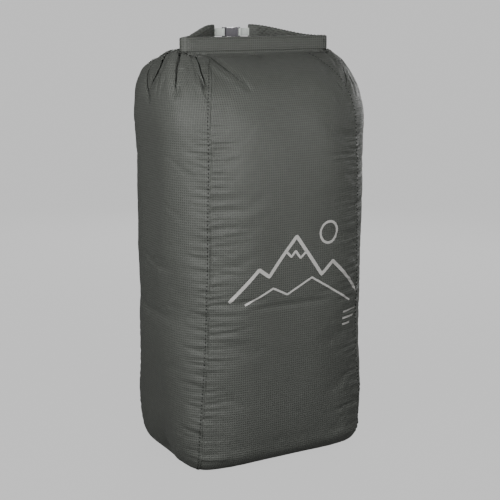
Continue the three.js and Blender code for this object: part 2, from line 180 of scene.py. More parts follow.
def girth(height):
    """The columns of GIRTH after the first, at a height, by smooth interpolation."""
    z = GIRTH[:, 0]
    k = int(np.clip(np.searchsorted(z, height, "right") - 1, 0, len(z) - 2))
    step = z[k + 1] - z[k]
    t = (height - z[k]) / step
    values = GIRTH[:, 1:]
    m0, m1 = GIRTH_SLOPE[k] * step, GIRTH_SLOPE[k + 1] * step
    return (
        (1 + 2 * t) * (1 - t) ** 2 * values[k] + t * (1 - t) ** 2 * m0
        + t * t * (3 - 2 * t) * values[k + 1] + t * t * (t - 1) * m1
    )


GIRTH_SLOPE = np.gradient(GIRTH[:, 1:], GIRTH[:, 0], axis=0)
SHOULDER = 625.0  # above this height the cloth is gathered, and its grid is finer
MAIN_WIDTH, GUSSET_WIDTH = 395, 290  # roughly, to space a grid's columns by
SEAM_CLOSE = 30.0  # a grid's columns are closest together within this much of a seam


def outline(height, angles):
    """Points round the sack at a height. 0 is +X, and -90 degrees is the front."""
    half_width, half_depth, square, back, _ = girth(height)
    c, s = np.cos(angles), np.sin(angles)
    x = half_width * np.sign(c) * np.abs(c) ** (2 / square)
    y = back + half_depth * np.sign(s) * np.abs(s) ** (2 / square)
    return np.stack([x, y, np.full_like(x, height)], -1)


def panel_angles(height):
    """The first and last angle of each panel, going round from the front-left seam."""
    seam = math.radians(girth(height)[4])
    pi = math.pi
    return [
        (pi + seam, 2 * pi - seam),
        (-seam, seam),
        (seam, pi - seam),
        (pi - seam, pi + seam),
    ]


def columns_for(width, fine, coarse):
    """Shares of a panel's width, close together near the seams at both ends."""
    at = [0.0]
    while at[-1] < width / 2:
        at.append(at[-1] + fine + (coarse - fine) * float(smoothstep(at[-1] / SEAM_CLOSE)))
    half = np.array(at) / at[-1] / 2
    return np.concatenate([half, 1 - half[-2::-1]])


class Ring:
    """The sack's side walls as a grid: rows go up from the base, and columns go round from the
    front-left seam over the front, the right gusset, the back and the left gusset."""

    def __init__(self, low_step, high_step, fine, coarse):
        dense = np.linspace(0, GIRTH[-1, 0], 1500)
        shape = np.array([girth(z) for z in dense])
        sideways = np.diff(shape[:, 0]) ** 2 + np.diff(shape[:, 1]) ** 2
        travel = np.sqrt(np.diff(dense) ** 2 + 0.6 * sideways)
        travel = travel / np.where(dense[1:] > SHOULDER, high_step, low_step)
        travel = np.concatenate([[0], np.cumsum(travel)])
        rows = int(travel[-1]) + 1
        self.heights = np.interp(np.linspace(0, travel[-1], rows), travel, dense)
        main, back = (columns_for(MAIN_WIDTH, fine, k * coarse) for k in (1, 1.8))
        side = columns_for(GUSSET_WIDTH, fine, coarse)
        self.shares = [main, side, back, side]
        self.starts = np.cumsum([0] + [len(s) - 1 for s in self.shares])
        self.columns = int(self.starts[-1])
        self.rows = rows
        self.points = np.zeros((rows, self.columns, 3))
        self.along = np.zeros((rows, self.columns))  # from the start of its panel
        self.width = np.zeros((rows, 4))
        for r, z in enumerate(self.heights):
            for p, (first, last) in enumerate(panel_angles(z)):
                line = outline(z, np.linspace(first, last, 900))
                length = travel_along(line)
                at = self.shares[p] * length[-1]
                here = slice(self.starts[p], self.starts[p + 1])
                for axis in range(3):
                    self.points[r, here, axis] = np.interp(at, length, line[:, axis])[:-1]
                self.along[r, here] = at[:-1]
                self.width[r, p] = length[-1]
        # How far each point is below the neck, along the cloth.
        step = np.linalg.norm(np.diff(self.points, axis=0), axis=-1)
        step = np.concatenate([step, np.zeros((1, self.columns))])
        self.down = np.cumsum(step[::-1], axis=0)[::-1]

    def panel(self, p):
        """The columns of a panel, with both of its seams."""
        return np.arange(self.starts[p], self.starts[p + 1] + 1) % self.columns

    def width_at(self, p, row):
        return np.interp(row, np.arange(self.rows), self.width[:, p])

    def row_at(self, height):
        return np.interp(height, self.heights, np.arange(self.rows))

    def up(self, column):
        """How far each point of a column is above the base, along the cloth."""
        return self.down[0, column] - self.down[:, column]

    def middle_up(self, p):
        return self.up(self.panel(p)[len(self.shares[p]) // 2])

    def from_seam(self, seam):
        """The signed distance round from a seam: 0 front left, 1 front right, 2 back right and
        3 back left. It grows in the direction of the columns."""
        at = np.zeros((self.rows, self.columns))
        offset = np.concatenate([np.zeros((self.rows, 1)), np.cumsum(self.width, axis=1)], axis=1)
        total = offset[:, -1]
        for p in range(4):
            here = slice(self.starts[p], self.starts[p + 1])
            at[:, here] = offset[:, p : p + 1] + self.along[:, here]
        away = at - offset[:, seam : seam + 1]
        return (away + total[:, None] / 2) % total[:, None] - total[:, None] / 2


# ---- Creases and folds in the cloth ----

# Tension folds that fan out from each end of the roll. Points are (round from the seam, down from
# the neck), then the fold's depth and width, and how much of it is left at its far end.
LEFT_FAN = [
    ([(-72, 2), (-82, 30), (-93, 55), (-107, 78), (-129, 103), (-146, 117), (-158, 132)],
     10.0, 6.0, 0.3),
    ([(-66, 2), (-62, 50), (-66, 77), (-68, 98), (-70, 114), (-68, 139)], 9.5, 7.0, 0.55),
    ([(-44, 2), (-31, 36), (-23, 58), (-18, 82), (-13, 100), (-8, 112), (-1, 116)], 9.5, 6.5, 0.6),
    ([(-28, 68), (-21, 97), (-16, 120), (-9, 138), (-1, 148)], 4.2, 4.5, 0.4),
    ([(-21, 88), (-14, 111), (-7, 125), (-1, 134)], 3.0, 3.2, 0.4),
    ([(-22, 2), (-5, 21), (12, 45), (31, 72), (48, 91), (61, 106), (73, 119), (84, 130)],
     9.5, 5.4, 0.2),
    ([(-54, 2), (-47, 22), (-43, 44)], 5.0, 4.5, 0.1),
    ([(74, 2), (95, 11), (106, 31), (110, 44)], 4.0, 6.0, 0.2),
    ([(-121, 96), (-134, 117), (-146, 134)], 2.2, 3.0, 0.3),
    ([(-109, 94), (-118, 115), (-122, 140)], 2.0, 3.2, 0.2),
    ([(-94, 98), (-103, 118), (-111, 142)], 1.8, 3.4, 0.2),
    ([(-78, 104), (-75, 124), (-70, 144)], 2.2, 2.8, 0.3),
    ([(-64, 112), (-58, 140)], 1.9, 2.8, 0.2),
    ([(-56, 108), (-51, 146)], 1.7, 3.0, 0.2),
    ([(-31, 112), (-23, 136), (-16, 150)], 1.9, 3.2, 0.2),
    ([(-44, 100), (-38, 140)], 1.5, 3.4, 0.2),
]
RIGHT_FAN = [
    ([(72, 2), (76, 38), (58, 68), (37, 87), (25, 103), (12, 119), (0, 142)], 8.0, 6.5, 0.35),
    ([(66, 2), (96, 50), (108, 84), (112, 118)], 8.0, 7.5, 0.3),
    ([(52, 2), (50, 30), (38, 58), (22, 80)], 3.4, 5.0, 0.3),
    ([(84, 100), (82, 124), (76, 146)], 2.6, 3.6, 0.2),
    ([(62, 100), (56, 128), (50, 148)], 2.4, 3.6, 0.2),
    ([(42, 104), (33, 126), (24, 150)], 2.2, 3.4, 0.2),
    ([(124, 96), (130, 132)], 2.2, 3.8, 0.2),
    ([(-12, 112), (-8, 140), (-2, 156)], 1.6, 3.2, 0.2),
]


def hidden_side(fan, count):
    """The main folds of a fan as they are on the back: a little longer and shallower."""
    return [([(1.12 * u, 1.2 * v) for u, v in corners], 0.85 * depth, width, left_over)
            for corners, depth, width, left_over in fan[:count]]


# Each fan's seam, which way round from it is positive, and its folds.
FANS = (
    (0, 1, LEFT_FAN), (1, 1, RIGHT_FAN), (3, -1, hidden_side(LEFT_FAN, 7)),
    (2, -1, hidden_side(RIGHT_FAN, 5)))


def smooth_line(corners, step=4.0):
    """A line through corners with its turns rounded off, as points a step apart."""
    line = np.array(corners, float)
    line, _ = evenly(line, max(3, int(travel_along(line)[-1] / step) + 1))
    return softened(line, 5)


def near_line(x, y, line):
    """For each point: how far along a line its nearest place is (0 to 1), and the signed distance
    off it."""
    steps = np.linalg.norm(np.diff(line, axis=0), axis=1)
    start = travel_along(line)
    best = np.full(x.shape, 1e9)
    along, away = np.zeros(x.shape), np.zeros(x.shape)
    for k, (p, q) in enumerate(zip(line[:-1], line[1:])):
        d = (q - p) / steps[k]
        t = np.clip((x - p[0]) * d[0] + (y - p[1]) * d[1], 0, steps[k])
        ex, ey = x - p[0] - d[0] * t, y - p[1] - d[1] * t
        far = np.hypot(ex, ey)
        side = np.sign(d[0] * ey - d[1] * ex)
        closer = far < best
        best = np.where(closer, far, best)
        along = np.where(closer, (start[k] + t) / start[-1], along)
        away = np.where(closer, far * side, away)
    return along, away


def fold_width(along, width):
    """A fold opens out from its start, where all the folds of a fan crowd together."""
    return width * (0.42 + 0.58 * smoothstep(along, 0.0, 0.4))


def fold_depth(along, depth, left_over):
    return depth * (1 - (1 - left_over) * along**1.3) * smoothstep(1.0 - along, 0.0, 0.1)


FOLD_ROUND = 1.5  # how sharply a crease turns at its bottom


def fold(x, y, corners, depth, width, left_over):
    """A crease with a narrow bottom and full, pillowed sides. It is deepest near its start."""
    line = smooth_line(corners)
    reach = 6 * width
    low, high = line.min(0) - reach, line.max(0) + reach
    total = np.zeros(x.shape)
    close = (x > low[0]) & (x < high[0]) & (y > low[1]) & (y < high[1])
    along, away = near_line(x[close], y[close], line)
    spread = fold_width(along, width)
    near = np.sqrt(away**2 + FOLD_ROUND**2) - FOLD_ROUND
    crease = -np.exp(-near / spread)
    pillow = 0.24 * bell(away - 2.0 * spread, 1.2 * spread)
    pillow = pillow + 0.18 * bell(away + 2.0 * spread, 1.2 * spread)
    total[close] = fold_depth(along, depth, left_over) * (crease + pillow)
    return total


PUCKERS_FROM, PUCKERS_TO = 30.0, 735.0  # heights


def puckers(ring, seam, seed):
    """Short cross creases where a seam's thread has drawn the cloth in."""
    local = np.random.default_rng(seed)
    away = ring.from_seam(seam)
    height = ring.points[..., 2]
    main_side = 1 if seam in (0, 2) else -1
    total = np.zeros(away.shape)
    for side in (1, -1):
        distance = away * side
        on_main = side == main_side
        z = PUCKERS_FROM
        while z < PUCKERS_TO:
            strong = 0.25 + 0.75 * float(smoothstep(PUCKERS_TO - 10 - z, 0, 130))
            length = local.uniform(30, 112 if on_main else 78) * (0.55 + 0.45 * strong)
            depth = local.uniform(1.6, 6.0) * strong
            width = local.uniform(2.0, 4.0)
            slope = local.uniform(-0.06, 0.10) if on_main else local.uniform(-0.02, 0.26)
            bend = local.uniform(-0.0012, 0.0012)
            off = height - (z + slope * distance + bend * distance * distance)
            run = np.clip(distance / length, 0, 1)
            envelope = (0.45 + 0.55 * smoothstep(distance, 0, 8)) * (1 - run) ** 1.3
            envelope = envelope * (distance >= -2) * (np.abs(off) < 6 * width)
            near = np.sqrt(off**2 + 1.0) - 1.0
            spread = width * (1 + 0.5 * run)
            crease = -np.exp(-near / spread) + 0.28 * bell(off - 1.9 * width, width)
            total += depth * envelope * crease
            z += local.uniform(6, 19) * (1.3 - 0.45 * strong)
    return total


STITCH_IN = 5.0  # how far into the gusset a seam's stitches are
FLAT_SEAM = 0.35  # the front right seam is pulled flatter than the others


def seam_relief(ring):
    """Each seam is a felled fold on the gusset's side: a groove beside a raised, stitched lip."""
    total = np.zeros(ring.along.shape)
    for seam in range(4):
        gusset_side = -1 if seam in (0, 2) else 1
        d = ring.from_seam(seam) * gusset_side  # from the seam, into the gusset
        lip = smoothstep(d, -0.6, 0.8) * (1 - smoothstep(d, 6.4, 8.2))
        raised = 0.9 * lip - 0.8 * bell(d - STITCH_IN, 1.0) - 1.3 * bell(d + 1.4, 1.1)
        total += raised * (FLAT_SEAM if seam == 1 else 1.0)
    return total


SIM_FRAMES = 26


def simulated_detail(ring):
    """The fine relief that the cloth takes up when its seams are drawn in and it is blown up from
    inside, as a distance along each point's normal."""
    coarse = Ring(8.0, 8.0, 4.5, 9.0)
    points = coarse.points
    faces = grid_faces(coarse.rows, coarse.columns, wrap=True)
    mesh = bpy.data.meshes.new("filling")
    mesh.from_pydata((points.reshape(-1, 3) / 1000).tolist(), [], faces.tolist())
    cloth = bpy.data.objects.new("filling", mesh)
    bpy.context.scene.collection.objects.link(cloth)
    held = cloth.vertex_groups.new(name="held")
    drawn = cloth.vertex_groups.new(name="drawn")
    index = np.arange(points.shape[0] * points.shape[1]).reshape(points.shape[:2])
    held.add(index[:2].ravel().tolist() + index[-4:].ravel().tolist(), 1.0, "REPLACE")
    closeness = np.max([bell(coarse.from_seam(s), 9.0) for s in range(4)], axis=0)
    for weight in (0.25, 0.5, 0.75, 1.0):
        chosen = index[(closeness > weight - 0.25) & (closeness <= weight)]
        drawn.add(chosen.ravel().tolist(), weight, "REPLACE")
    modifier = cloth.modifiers.new("cloth", "CLOTH")
    for key, value in dict(
            quality=5, mass=0.12, tension_stiffness=18, compression_stiffness=18,
            shear_stiffness=4, bending_stiffness=0.04, air_damping=3, use_pressure=True,
            uniform_pressure_force=3.0, vertex_group_mass="held", vertex_group_shrink="drawn",
            shrink_min=-0.035, shrink_max=0.05).items():
        setattr(modifier.settings, key, value)
    modifier.settings.effector_weights.gravity = 0
    modifier.collision_settings.use_collision = False
    scene = bpy.context.scene
    modifier.point_cache.frame_start, modifier.point_cache.frame_end = 1, SIM_FRAMES
    for n in range(1, SIM_FRAMES + 1):
        scene.frame_set(n)
    settled = cloth.evaluated_get(bpy.context.evaluated_depsgraph_get())
    after = np.zeros(len(mesh.vertices) * 3)
    settled.to_mesh().vertices.foreach_get("co", after)
    settled.to_mesh_clear()
    scene.frame_set(1)
    after = after.reshape(points.shape) * 1000
    bpy.data.objects.remove(cloth)
    bpy.data.meshes.remove(mesh)
    push = ((after - points) * ring_normals(points)).sum(-1)
    fine = np.clip(push - blurred(push, 9), -6, 6)
    rows = np.interp(ring.heights, coarse.heights, np.arange(coarse.rows))
    columns = np.zeros(ring.columns)
    for p in range(4):
        here = slice(ring.starts[p], ring.starts[p + 1])
        own = np.arange(len(coarse.shares[p])) + coarse.starts[p]
        columns[here] = np.interp(ring.shares[p][:-1], coarse.shares[p], own)
    return sampled(fine, rows, columns)


def blurred(values, reach):
    """A running mean over the grid, twice: round the sack it wraps, and up it the ends repeat."""
    for _ in range(2):
        padded = np.pad(values, ((reach, reach), (0, 0)), mode="edge")
        total = np.cumsum(np.pad(padded, ((1, 0), (0, 0))), axis=0)
        values = (total[2 * reach + 1 :] - total[: -2 * reach - 1]) / (2 * reach + 1)
        values = np.mean([np.roll(values, k, 1) for k in range(-reach, reach + 1)], axis=0)
    return values


def sampled(values, rows, columns):
    """The grid of values read smoothly at fractional rows and columns, wrapping round."""
    def weights(t):
        return np.stack([
            -0.5 * t + t**2 - 0.5 * t**3, 1 - 2.5 * t**2 + 1.5 * t**3,
            0.5 * t + 2 * t**2 - 1.5 * t**3, -0.5 * t**2 + 0.5 * t**3], -1)
    r0 = np.clip(np.floor(rows).astype(int), 0, values.shape[0] - 2)
    c0 = np.floor(columns).astype(int)
    wr, wc = weights(rows - r0), weights(columns - c0)
    tall = sum(
        wr[:, k, None] * values[np.clip(r0 + k - 1, 0, values.shape[0] - 1)] for k in range(4))
    return sum(wc[None, :, k] * tall[:, (c0 + k - 1) % values.shape[1]] for k in range(4))


def filled_cloth():
    """The ring of side walls with all of its relief."""
    ring = Ring(3.4, 2.1, 1.3, 2.4)
    z, down = ring.points[..., 2], ring.down
    left, right = ring.from_seam(0), ring.from_seam(1)
    relief = np.zeros(z.shape)
    for seam, sign, fan in FANS:
        for args in fan:
            relief += fold(sign * ring.from_seam(seam), down, *args)
    relief += sum(puckers(ring, seam, 40 + seam) for seam in range(4))
    soft, softer = Noise(120), Noise(260)
    x, y = ring.points[..., 0], ring.points[..., 1]
    relief += 0.8 * (soft(x, z) + soft(y, z + 900)) + 1.1 * (softer(x, z) + softer(y, z + 900))
    # The cloth stands up beside the ends of the roll.
    for away, height in ((left + 92, 11.0), (right - 92, 5.0)):
        relief += height * bell(away, 48) * bell(down - 40, 34)
    # A dent where the gusset meets the ground.
    for seam, sign in ((0, -1), (1, 1)):
        away = ring.from_seam(seam) * sign
        relief -= 7.0 * bell(away - 118 - 0.25 * z, 24) * bell(z - 8, 46) * smoothstep(z, 0, 14)
        relief += 3.0 * bell(away - 70, 26) * bell(z - 30, 40)
    relief += 0.35 * simulated_detail(ring)
    relief *= smoothstep(z, 0, 22) * smoothstep(down, 1, 15)
    relief += seam_relief(ring) * smoothstep(z, 0, 6) * smoothstep(down, 20, 110)
    ring.smooth, ring.smooth_normals = ring.points, ring_normals(ring.points)
    ring.relief = relief
    points = ring.smooth + relief[..., None] * ring.smooth_normals
    points[..., 2] = np.maximum(points[..., 2], 0.05)
    ring.points = points
    ring.normals = ring_normals(points)
    return ring


def read(grid, row, column):
    """A grid's values at fractional rows and columns, which wrap round."""
    r0 = np.clip(np.floor(row).astype(int), 0, grid.shape[0] - 2)
    c0 = np.floor(column).astype(int)
    fr, fc = row - r0, column - c0
    c0, c1 = c0 % grid.shape[1], (c0 + 1) % grid.shape[1]
    if grid.ndim == 3:
        fr, fc = fr[..., None], fc[..., None]
    low = grid[r0, c0] * (1 - fc) + grid[r0, c1] * fc
    high = grid[r0 + 1, c0] * (1 - fc) + grid[r0 + 1, c1] * fc
    return low * (1 - fr) + high * fr


def locate(away, down, u, v):
    """The fractional row and column of a place given round from a seam and down from the neck."""
    u, v = np.asarray(u, float), np.asarray(v, float)
    sparse_u, sparse_v = away[::3, ::3], down[::3, ::3]
    nearest = [np.argmin((sparse_u - p) ** 2 + (sparse_v - q) ** 2) for p, q in zip(u.flat, v.flat)]
    row, column = (3.0 * k.reshape(u.shape) for k in np.unravel_index(nearest, sparse_u.shape))
    for _ in range(6):
        gap_u, gap_v = u - read(away, row, column), v - read(down, row, column)
        uc = (read(away, row, column + 0.5) - read(away, row, column - 0.5))
        ur = (read(away, row + 0.5, column) - read(away, row - 0.5, column))
        vc = (read(down, row, column + 0.5) - read(down, row, column - 0.5))
        vr = (read(down, row + 0.5, column) - read(down, row - 0.5, column))
        det = uc * vr - ur * vc
        column = column + np.clip((gap_u * vr - gap_v * ur) / det, -1, 1)
        row = np.clip(row + np.clip((gap_v * uc - gap_u * vc) / det, -1, 1), 0.5, away.shape[0] - 2)
    return row, column


def cloth_at(ring, p, across, row, lift=0.0):
    """Points on the cloth of panel p, across from its first seam, at fractional grid rows, and
    their normals. lift is how far off the cloth they are."""
    across, row = np.broadcast_arrays(np.asarray(across, float), np.asarray(row, float))
    own = np.arange(len(ring.shares[p]))
    column = ring.starts[p] + np.interp(across / ring.width_at(p, row), ring.shares[p], own)
    points, normals = read(ring.points, row, column), read(ring.normals, row, column)
    normals = normals / np.linalg.norm(normals, axis=-1, keepdims=True)
    return points + normals * lift, normals


# ---- Materials ----


def times(factor, colour):
    return tuple(min(1, factor * c) for c in colour)


class Nodes:
    """A material's nodes, made one line at a time."""

    def __init__(self, name, colour, roughness, **sockets):
        self.material = bpy.data.materials.new(name)
        self.material.use_nodes = True
        self.tree = self.material.node_tree
        self.shader = self.tree.nodes["Principled BSDF"]
        self.shader.inputs["Base Color"].default_value = (*colour, 1)
        self.shader.inputs["Roughness"].default_value = roughness
        for socket, value in sockets.items():
            self.shader.inputs[socket.replace("_", " ")].default_value = value

    def add(self, kind, inputs=(), **settings):
        node = self.tree.nodes.new(kind)
        for key, value in settings.items():
            setattr(node, key, value)
        for key, value in dict(inputs).items():
            if isinstance(value, bpy.types.NodeSocket):
                self.tree.links.new(value, node.inputs[key])
            else:
                node.inputs[key].default_value = value
        return node

    def math(self, operation, a, b):
        return self.add("ShaderNodeMath", {0: a, 1: b}, operation=operation).outputs[0]

    def cloth(self):
        """How far across and up the cloth a place is, in millimetres."""
        uv = self.add("ShaderNodeUVMap", uv_map="cloth").outputs[0]
        return self.add("ShaderNodeSeparateXYZ", {0: uv}).outputs[:2]

    def place(self):
        return self.add("ShaderNodeTexCoord").outputs["Object"]

    def lines(self, coordinate, pitch, share):
        """1 on thin lines a pitch apart along a coordinate in millimetres, and 0 between them."""
        wave = self.math("PINGPONG", self.math("DIVIDE", coordinate, pitch), 0.5)
        return self.add(
            "ShaderNodeMapRange", {0: wave, 1: share * 0.35, 2: share, 3: 1.0, 4: 0.0},
            interpolation_type="SMOOTHSTEP").outputs[0]

    def ripstop_grid(self, u, v):
        return self.math("MAXIMUM", *(self.lines(at, RIPSTOP, RIPSTOP_SHARE) for at in (u, v)))

    def noise(self, where, scale, detail=3.0, roughness=0.55):
        inputs = {"Vector": where, "Scale": scale, "Detail": detail, "Roughness": roughness}
        return self.add("ShaderNodeTexNoise", inputs).outputs["Fac"]

    def spread(self, value, low, high):
        """value from about 0.3 to 0.7 spread from low to high."""
        inputs = {0: value, 1: 0.3, 2: 0.7, 3: low, 4: high}
        return self.add("ShaderNodeMapRange", inputs).outputs[0]

    def mix(self, factor, a, b):
        """Between two colours, each a socket or red, green and blue."""
        a, b = (c if isinstance(c, bpy.types.NodeSocket) else (*c, 1) for c in (a, b))
        inputs = {"Factor": factor, 6: a, 7: b}
        return self.add("ShaderNodeMix", inputs, data_type="RGBA").outputs[2]

    def bump(self, height, distance, strength=1.0, over=None):
        inputs = {"Height": height, "Distance": distance, "Strength": strength}
        if over is not None:
            inputs["Normal"] = over
        return self.add("ShaderNodeBump", inputs).outputs[0]

    def to(self, socket, value):
        self.tree.links.new(value, self.shader.inputs[socket])


RIPSTOP, RIPSTOP_SHARE = 4.6, 0.26  # the grid of thicker threads: its pitch and a line's share


def ripstop(name, dark, light):
    """Coated ripstop nylon: a plain weave with a grid of thicker threads, a soft shine, and the
    faint crinkles and dust that a handled sack has. Its UVs are millimetres of cloth."""
    n = Nodes(name, dark, 0.48, Sheen_Weight=0.05, Sheen_Roughness=0.4, Specular_IOR_Level=0.26)
    n.shader.inputs["Sheen Tint"].default_value = (0.86, 0.90, 0.84, 1)
    place, (u, v) = n.place(), n.cloth()
    grid = n.ripstop_grid(u, v)
    threads = n.math("MULTIPLY", n.lines(u, 0.42, 0.5), n.lines(v, 0.42, 0.5))
    mottle = n.noise(place, 9.0, 4.0)
    fine = n.noise(place, 95.0, 3.0)
    colour = n.mix(n.spread(mottle, 0.0, 1.0), dark, light)
    colour = n.mix(n.math("MULTIPLY", grid, 0.62), colour, times(2.1, light))
    n.to("Base Color", n.mix(n.spread(fine, 0.0, 0.16), colour, times(0.78, dark)))
    rough = n.math("ADD", n.spread(mottle, 0.45, 0.55), n.math("MULTIPLY", grid, 0.10))
    n.to("Roughness", n.math("ADD", rough, n.spread(fine, -0.04, 0.05)))
    crinkle = n.noise(place, 150.0, 2.0)
    normal = n.bump(crinkle, 0.0005, 0.30)
    normal = n.bump(threads, 0.00005, 0.45, over=normal)
    normal = n.bump(grid, 0.00045, 0.9, over=normal)
    n.to("Normal", normal)
    return n.material


RIB_PITCH = 1.1


def webbing_material(name, colour):
    """Woven polyester tape: ribs across it and a fine twill."""
    n = Nodes(name, colour, 0.72, Sheen_Weight=0.30, Sheen_Roughness=0.5)
    u, v = n.cloth()
    ribs = n.lines(v, RIB_PITCH, 0.5)
    twill = n.lines(n.math("ADD", u, v), 0.8, 0.5)
    weave = n.math("ADD", n.math("MULTIPLY", ribs, 0.7), n.math("MULTIPLY", twill, 0.5))
    n.to("Base Color", n.mix(n.math("MULTIPLY", weave, 0.55), times(0.62, colour), colour))
    n.to("Roughness", n.spread(n.noise(n.place(), 160.0, 3.0), 0.62, 0.80))
    n.to("Normal", n.bump(weave, 0.00025, 0.7))
    return n.material


def moulded(name, colour):
    """Moulded acetal: a fine spark-eroded texture, with edges rubbed smoother."""
    n = Nodes(name, colour, 0.42, Specular_IOR_Level=0.45)
    place = n.place()
    grain = n.noise(place, 2600.0, 2.0)
    cloud = n.noise(place, 120.0, 3.0)
    rubbed = n.add("ShaderNodeNewGeometry").outputs["Pointiness"]
    worn = n.add("ShaderNodeMapRange", {0: rubbed, 1: 0.52, 2: 0.62}).outputs[0]
    light = tuple(min(1, 1.5 * c + 0.01) for c in colour)
    tone = n.mix(n.spread(cloud, 0.0, 0.35), colour, light)
    n.to("Base Color", n.mix(n.math("MULTIPLY", worn, 0.4), tone, light))
    rubbed_off = n.math("MULTIPLY", worn, 0.1)
    n.to("Roughness", n.math("SUBTRACT", n.spread(cloud, 0.38, 0.50), rubbed_off))
    n.to("Normal", n.bump(grain, 0.00006, 0.5))
    return n.material


def thread_material(name, colour):
    n = Nodes(name, colour, 0.9, Specular_IOR_Level=0.1)
    ply = n.noise(n.place(), 900.0, 2.0)
    n.to("Base Color", n.mix(n.spread(ply, 0, 1), times(0.6, colour), colour))
    n.to("Normal", n.bump(ply, 0.0001, 0.6))
    return n.material


def ink_material(name, colour, under):
    """Screen-printed ink, thin enough that the cloth's grid shows in it, with small pinholes."""
    n = Nodes(name, colour, 0.55, Specular_IOR_Level=0.35)
    grid = n.ripstop_grid(*n.cloth())
    worn = n.noise(n.place(), 420.0, 4.0, 0.7)
    hole = n.add("ShaderNodeMapRange", {0: worn, 1: 0.60, 2: 0.72}).outputs[0]
    tone = n.mix(n.math("MULTIPLY", grid, 0.2), colour, times(0.8, colour))
    n.to("Base Color", n.mix(n.math("MULTIPLY", hole, 0.6), tone, under))
    n.to("Roughness", n.spread(worn, 0.48, 0.62))
    n.to("Normal", n.bump(grid, 0.0002, 0.6))
    return n.material


def satin_tape(name, colour):
    n = Nodes(name, colour, 0.38)
    place = n.place()
    cloud = n.noise(place, 60.0, 3.0)
    n.to("Base Color", n.mix(n.spread(cloud, 0, 1), colour, times(1.25, colour)))
    n.to("Roughness", n.spread(cloud, 0.32, 0.46))
    n.to("Normal", n.bump(n.noise(place, 700.0, 2.0), 0.0001, 0.4))
    return n.material


NYLON_DARK, NYLON_LIGHT = (0.040, 0.042, 0.038), (0.046, 0.0485, 0.0437)
nylon = ripstop("ripstop_nylon", NYLON_DARK, NYLON_LIGHT)
webbing = webbing_material("pale_webbing", (0.60, 0.64, 0.60))
acetal = moulded("buckle_acetal", (0.075, 0.072, 0.080))
# The seam thread is coloured near black, darker than the thread itself, as painted shade: it stands
# in for the shade in the needle holes along each seam.
thread = thread_material("seam_thread_painted_needle_hole_shade", (0.010, 0.0105, 0.0095))
pale_thread = thread_material("tab_thread", (0.42, 0.44, 0.42))
ink = ink_material("print_ink", (0.37, 0.365, 0.35), NYLON_DARK)
tape = satin_tape("seam_tape", (0.22, 0.225, 0.215))
stiff = satin_tape("stiffener_film", (0.03, 0.032, 0.030))

# ---- The sack's cloth ----

ring = filled_cloth()


def panel_grid(p):
    """A panel's points, and its cloth coordinates: across from its middle, and up from the base."""
    columns = ring.panel(p)
    across = (ring.shares[p][None, :] - 0.5) * ring.width[:, p][:, None]
    up = np.repeat(ring.middle_up(p)[:, None], len(columns), 1)
    return ring.points[:, columns], np.stack([across, up], -1)


def base_patch(front, back, sides):
    """The cloth under the base, from the front edge to the back one: rows x columns of points that
    meet the edges of all four panels."""
    over, share = ring.shares[0], np.linspace(0, 1, 42)
    def along(line, at):
        own = np.linspace(0, 1, len(line)) if len(line) != len(ring.shares[1]) else ring.shares[1]
        return np.stack([np.interp(at, own, line[:, k]) for k in range(3)], -1)
    left, right = (along(line, share)[:, None] for line in sides)
    back = np.stack([np.interp(over, ring.shares[2], back[:, k]) for k in range(3)], -1)
    s, o = share[:, None, None], over[None, :, None]
    corners = (
        (1 - s) * ((1 - o) * front[0] + o * front[-1]) + s * ((1 - o) * back[0] + o * back[-1]))
    return front[None] * (1 - s) + back[None] * s + left * (1 - o) + right * o - corners


def main_panel():
    """One length of cloth in three meshes: the front, the part under the base and the back."""
    front, front_uv = panel_grid(0)
    back, back_uv = panel_grid(2)
    sides = ring.points[0, ring.panel(3)][::-1], ring.points[0, ring.panel(1)]
    base = base_patch(front[0], back[0, ::-1], sides)
    depth = base[-1, len(base[0]) // 2, 1] - base[0, len(base[0]) // 2, 1]
    base_uv = np.stack([base[..., 0], base[0, len(base[0]) // 2, 1] - base[..., 1]], -1)
    back_uv = back_uv * (1, -1) - (0, depth)
    made = []
    for name, points, uv in (("front", front, front_uv), ("base", base, base_uv),
                             ("back", back, back_uv)):
        faces = grid_faces(*points.shape[:2])
        if name == "base":
            faces = faces[:, ::-1]
        made.append(mesh_piece(f"ripstop_{name}", points, faces, nylon, uv))
    return made


for panel in main_panel():
    fit(panel, "sack", "main_panel")
for p, side in ((1, "right"), (3, "left")):
    points, uv = panel_grid(p)
    faces = grid_faces(*points.shape[:2])
    gusset = mesh_piece(f"ripstop_{side}_gusset", points, faces, nylon, uv)
    fit(gusset, "sack", f"{side}_gusset")


LIPS_FROM = 3.9  # folds at least this deep have lips
LIP_GAP = 1.5
LIPS_BELOW = 9.0  # above this the neck hides the folds


